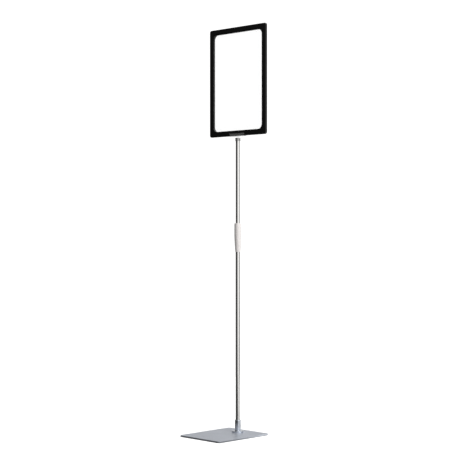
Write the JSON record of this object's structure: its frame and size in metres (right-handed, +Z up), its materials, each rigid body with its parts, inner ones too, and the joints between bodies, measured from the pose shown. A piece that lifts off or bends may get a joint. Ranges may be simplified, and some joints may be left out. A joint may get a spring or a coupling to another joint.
{
  "type": "sign stand",
  "caption": "Floor-standing sign holder: flat rectangular base, telescopic tube pole with a twist lock, and a swivelling frame with a clear pocket for a printed sheet.",
  "frame": {"origin": "centre of the base's underside, on the floor, which is the bottom centre of the whole stand's box", "axes": "+Z up along the pole, +X to the sign's right as its reader sees it, -Y out of the sign's face and towards the long end of the base"},
  "size_m": [0.317, 0.28, 1.6425],
  "materials": {
    "base_paint": "satin silver-grey powder coat",
    "socket_metal": "satin plated, cool grey",
    "underlay": "matt foam rubber",
    "zinc_steel": "zinc plated",
    "black_steel": "black oxide",
    "tube_steel": "satin bright",
    "dark_plastic": "moulded, fine grain",
    "wedge_plastic": "moulded acetal",
    "grip_plastic": "satin white, moulded",
    "cap_metal": "satin",
    "clear_clip": "clear, moulded",
    "frame_plastic": "satin black, fine grain",
    "clear_film": "clear film"
  },
  "bodies": {
    "stand": {"base_plate": "base_paint", "base_underlay": "underlay", "base_screw": "zinc_steel", "pole_socket": "socket_metal", "socket_set_screws": "black_steel", "lower_tube": "tube_steel", "lock_collet": "dark_plastic"},
    "wedge": {"wedge_ring": "wedge_plastic"},
    "grip": {"lock_grip": "grip_plastic", "grip_circlip": "zinc_steel", "grip_cap": "grip_plastic"},
    "mast": {"upper_tube": "tube_steel", "tube_foot_plug": "dark_plastic", "tube_cap": "cap_metal"},
    "holder": {"t_clip": "clear_clip", "stem_clip": "zinc_steel"},
    "sign_frame": {"frame_front": "frame_plastic", "frame_back": "frame_plastic"},
    "pocket": {"pocket_front_sheet": "clear_film", "pocket_back_sheet": "clear_film"}
  },
  "joints": [
    {"name": "grip_twist", "type": "hinge", "parent": "stand", "child": "grip", "pos_m": [0, 0.077, 0.79], "axis": [0, 0, 1], "range_deg": [0, 150]},
    {"name": "wedge_slide", "type": "slide", "parent": "stand", "child": "wedge", "axis": [0, 0, 1], "range_m": [-0.0026, 0]},
    {"name": "mast_slide", "type": "slide", "parent": "stand", "child": "mast", "axis": [0, 0, 1], "range_m": [-0.325, 0.25]},
    {"name": "sign_swivel", "type": "hinge", "parent": "mast", "child": "holder", "pos_m": [0, 0.077, 1.19], "axis": [0, 0, 1], "continuous": true},
    {"name": "frame_lift", "type": "slide", "parent": "holder", "child": "sign_frame", "axis": [0, 0, 1], "range_m": [0, 0.03]},
    {"name": "pocket_pull", "type": "slide", "parent": "sign_frame", "child": "pocket", "axis": [0, 0, 1], "range_m": [0, 0.44]}
  ],
  "couplings": [
    {"joint": "wedge_slide", "follows": "grip_twist", "m_per_rad": -0.00095493}
  ]
}
